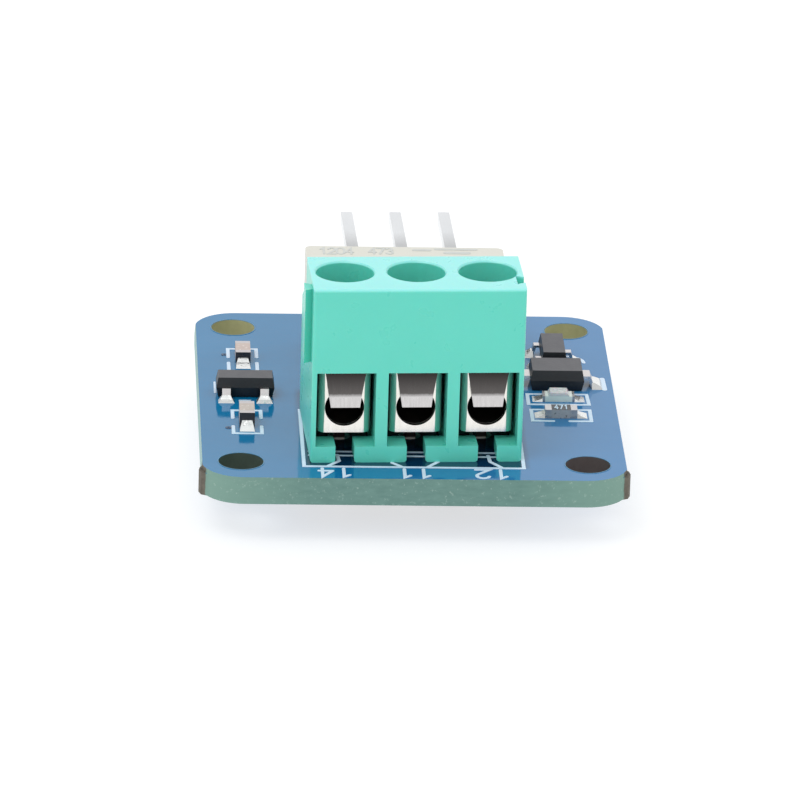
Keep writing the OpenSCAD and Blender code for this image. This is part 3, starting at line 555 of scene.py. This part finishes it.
def number(bm, text, x, y, height, width, z=TOP, turn=0.0, gap=0.25, slim=1.0):
    """Plain number centred on (x, y), turned by turn degrees; slim narrows it."""
    pitch = DIGIT_W + gap
    total = pitch * len(text) - gap
    c = math.cos(math.radians(turn))
    s = math.sin(math.radians(turn))
    for k, digit in enumerate(text):
        for line in DIGITS[digit]:
            placed = []
            for px, py in line:
                u = (px + k * pitch - total / 2) * height * slim
                v = (py - 0.5) * height
                placed.append((x + u * c - v * s, y + u * s + v * c))
            closed = line[0] == line[-1]
            stroke(bm, placed[:-1] if closed else placed, width, z, closed)


# ---- print on the board ----

LINE = 0.18


def around(node, left, right, front, back):
    """Rectangle that leaves these gaps round a node: its low and high x, then its low and high y."""
    low, high = box_mm(node)
    return low.x - left, high.x + right, low.y - front, high.y + back


def terminal_print(bm):
    """Outline under the terminal block, two lines across it, the contacts' sign and the poles' numbers."""
    left, right, front, rear = -5.43, 5.33, -9.78, -2.23
    stroke(bm, [(left, front), (right, front), (right, rear), (left, rear)], LINE, closed=True)
    for y in (-7.78, -8.31):
        stroke(bm, [(left + 0.3, y), (right - 0.3, y)], LINE * 0.8)
    for points in (
        [(-3.77, -8.23), (-3.70, -9.03), (-4.31, front)],
        [(-1.11, -9.21), (-0.60, front)],
        [(1.15, -9.02), (0.58, front)],
        [(3.65, -8.15), (3.71, -8.94), (4.30, front)],
    ):
        stroke(bm, points, LINE)
    for text, x in (("14", -3.92), ("11", -0.02), ("12", 3.75)):
        number(bm, text, x, front - 0.79, height=1.1, width=0.17, turn=180)


def brackets(bm, rectangle, reach_x, reach_y, corners="abcd"):
    """Corner marks of a rectangle: a, b at the front left and right, c, d at the rear right and left."""
    x0, x1, y0, y1 = rectangle
    places = {"a": (x0, y0, 1, 1), "b": (x1, y0, -1, 1), "c": (x1, y1, -1, -1), "d": (x0, y1, 1, -1)}
    for corner in corners:
        x, y, dx, dy = places[corner]
        stroke(bm, [(x + dx * reach_x, y), (x, y), (x, y + dy * reach_y)], LINE)


def capacitor_print(bm):
    brackets(bm, around("filter_capacitor_ends", 0.355, 0.325, 1.13, 0.39), 0.33, 1.2)
    supply = around("supply_capacitor_ends", 0.305, 0.345, 0.77, 0.73)
    brackets(bm, supply, 0.7, 0.97, "ab")
    brackets(bm, supply, 0.35, 1.06, "cd")


def transistor_print(bm):
    """Two bars and a dash at the left transistor, and a rounded corner beside the right one."""
    x0, x1, y0, y1 = around("left_transistor_body", 0.04, -0.05, 0.34, 0.85)
    for x in (x0, x1):
        stroke(bm, [(x, y1 - 1.47), (x, y1)], LINE * 0.6)
    stroke(bm, [(x0 + 1.23, y0), (x1 - 1.18, y0)], LINE * 0.8)
    _, x, _, y = around("right_transistor_body", 0, 0, 0, -0.65)
    corner = ((0, 0), (0.4, -0.08), (0.72, -0.27), (0.88, -0.55), (0.94, -0.88))
    stroke(bm, [(x + dx, y + dy) for dx, dy in corner], LINE)


def lamp_print(bm):
    x0, x1, y0, y1 = around("lamp_ends", 0.72, 0.70, 0.395, 0.265)
    stroke(bm, [(x0, y0), (x1, y0), (x1 - 0.05, y1), (x0, y1)], LINE, closed=True)


def resistor_outline(bm):
    """Outline of the resistor, open in the middle of its front."""
    x0, x1, y0, y1 = around("resistor_ends", 0.64, 0.68, 0.405, 0.375)
    stroke(bm, [(x0 + 1.02, y0), (x0, y0), (x0, y1), (x1, y1), (x1, y0), (x1 - 1.06, y0)], LINE)


def diode_print(bm):
    _, x, y0, y1 = around("diode_leads", 0, 0.21, 0.21, 0.4)
    stroke(bm, [(x, y0), (x - 0.04, y1)], LINE * 1.4)


def part_print(bm):
    for print_of in (capacitor_print, transistor_print, lamp_print, resistor_outline, diode_print):
        print_of(bm)


def relay_print(bm):
    """Two plain numbers, a dash and two bars where the maker's marking would be."""
    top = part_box("relay_cover")[1].z
    back = box_mm("relay_cover")[1].y
    number(bm, "1204", -3.45, back - 0.7, height=0.85, width=0.12, z=top, gap=0.12, slim=0.72)
    number(bm, "473", -1.2, back - 0.65, height=0.8, width=0.12, z=top, gap=0.12, slim=0.75)
    for x0, x1, y, width in ((0.5, 1.25, back - 0.45, 0.22), (1.6, 3.6, back - 0.3, 0.2),
                             (2.1, 3.2, back - 0.8, 0.3)):
        stroke(bm, [(x0, y), (x1, y)], width, top)


def resistor_print(bm):
    """The number on the resistor's top."""
    low, high = box_mm("resistor_body")
    centre = (low + high) / 2
    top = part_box("resistor_body")[1].z
    number(bm, "471", centre.x, centre.y, height=0.52, width=0.06, z=top, gap=0.3, slim=0.52)


def vias(bm):
    """Vias under the mask beside the capacitors: flat rings of painted shade, standing in for small
    dimples.
    """
    for node, ahead in (("filter_capacitor_ends", -0.42), ("supply_capacitor_ends", -1.62)):
        x, _, _, y = around(node, 0.545, 0, 0, ahead)
        # Each via is a flat dark ring of painted shade where a dimple would be
        circle_line(bm, x, y, outer_r=0.16, inner_r=0.05, count=24)


def hole_rims(bm):
    """Thin rims round the mounting holes, a little paler than the mask."""
    for x in (-HOLE_X, HOLE_X):
        for y in (-HOLE_Y, HOLE_Y):
            circle_line(bm, x, y, outer_r=HOLE_R + 0.05, inner_r=HOLE_R + 0.01, count=60)


# ---- stage ----

def make_camera():
    """Product view: 21 degrees above the board, almost square on, through a long lens."""
    azimuth, elevation, roll = math.radians(-2.92), math.radians(21.25), math.radians(1.70)
    distance = 417.08 * MM
    target = Vector((-0.377 * MM, -0.707 * MM, TOP))
    back = Vector((math.sin(azimuth) * math.cos(elevation), -math.cos(azimuth) * math.cos(elevation),
                   math.sin(elevation)))
    data = bpy.data.cameras.new("camera")
    data.lens = 376.3
    data.sensor_width = 36
    data.clip_start = 0.02
    data.clip_end = 20
    camera = bpy.data.objects.new("camera", data)
    bpy.context.scene.collection.objects.link(camera)
    camera.location = target + back * distance
    camera.rotation_mode = "QUATERNION"
    camera.rotation_quaternion = (-back).to_track_quat("-Z", "Y") @ Quaternion((0, 0, 1), roll)
    bpy.context.scene.camera = camera


def make_floor():
    """Pale floor under the lowest pin, bright enough by itself to fade into the background."""
    z = cad_box[0].z
    reach = 3.0
    corners = [(-reach, -reach, z), (reach, -reach, z), (reach, reach, z), (-reach, reach, z)]
    mesh = bpy.data.meshes.new("floor")
    mesh.from_pydata(corners, [], [(0, 1, 2, 3)])
    g = Graph("floor")
    g.fixed(Roughness=0.6, Specular_IOR_Level=0.2, Emission_Color=(1, 1, 1, 1), Emission_Strength=0.66)
    g.set("Base Color", g.mix(g.noise(3, 4), (158, 160, 161), (162, 163, 163)))
    mesh.materials.append(g.material)
    floor = bpy.data.objects.new("floor", mesh)
    bpy.context.scene.collection.objects.link(floor)


def area_light(name, location, target, size, power):
    data = bpy.data.lights.new(name, "AREA")
    data.shape = "RECTANGLE"
    data.size, data.size_y = size
    data.energy = power
    light = bpy.data.objects.new(name, data)
    bpy.context.scene.collection.objects.link(light)
    light.location = location
    light.rotation_mode = "QUATERNION"
    light.rotation_quaternion = (Vector(target) - Vector(location)).to_track_quat("-Z", "Y")


def make_light():
    """White surroundings, a soft key light from the front left, and plain colour handling."""
    world = bpy.data.worlds.new("studio")
    world.use_nodes = True
    background = world.node_tree.nodes["Background"]
    background.inputs["Color"].default_value = (1.0, 1.0, 1.0, 1)
    background.inputs["Strength"].default_value = 1.02
    bpy.context.scene.world = world
    area_light("key", (-0.12, -0.10, 0.30), (0, 0, 0), (0.2, 0.16), 0.25)
    view = bpy.context.scene.view_settings
    view.view_transform = "Standard"
    view.look = "None"
    view.exposure = 0.0
    view.gamma = 1.0


# ---- assembly ----

# Nodes that look unlike their record's slot
OWN_LOOKS = {
    "filter_capacitor_ends": "chip_tin",
    "supply_capacitor_ends": "chip_tin",
    "resistor_ends": "lightly_shaded_tin",
    "lamp_ends": "lightly_shaded_tin",
}
# Printed pieces: name, what draws it, its look and its slot
PRINTS = (
    ("board_print", terminal_print, "ink", "solder_mask"),
    ("part_print", part_print, "ink", "solder_mask"),
    ("relay_print", relay_print, "grey_ink", "relay_white"),
    ("resistor_print", resistor_print, "ink", "resistor_ceramic"),
    ("vias", vias, "via_shade", "solder_mask"),
    ("hole_rims", hole_rims, "rim", "solder_mask"),
)


def piece(name, draw, look):
    """One printed piece on the board's body: draw fills a bmesh, in metres in the frame."""
    bm = bmesh.new()
    draw(bm)
    bmesh.ops.recalc_face_normals(bm, faces=bm.faces)
    mesh = bpy.data.meshes.new(name)
    bm.to_mesh(mesh)
    bm.free()
    mesh.materials.append(LOOKS[look])
    obj = bpy.data.objects.new(name, mesh)
    bpy.context.scene.collection.objects.link(obj)
    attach(obj, ROOT)


def dress():
    """Gives the CAD's nodes their looks and adds the print."""
    build_materials()
    for part in frame["record"]["subparts"]:
        obj = frame["nodes"][part["node"]]
        obj.data.materials.clear()
        obj.data.materials.append(LOOKS[OWN_LOOKS.get(part["node"], part["material_slot"])])
    for name, draw, look, slot in PRINTS:
        piece(name, draw, look)


make_camera()
make_floor()
make_light()
dress()
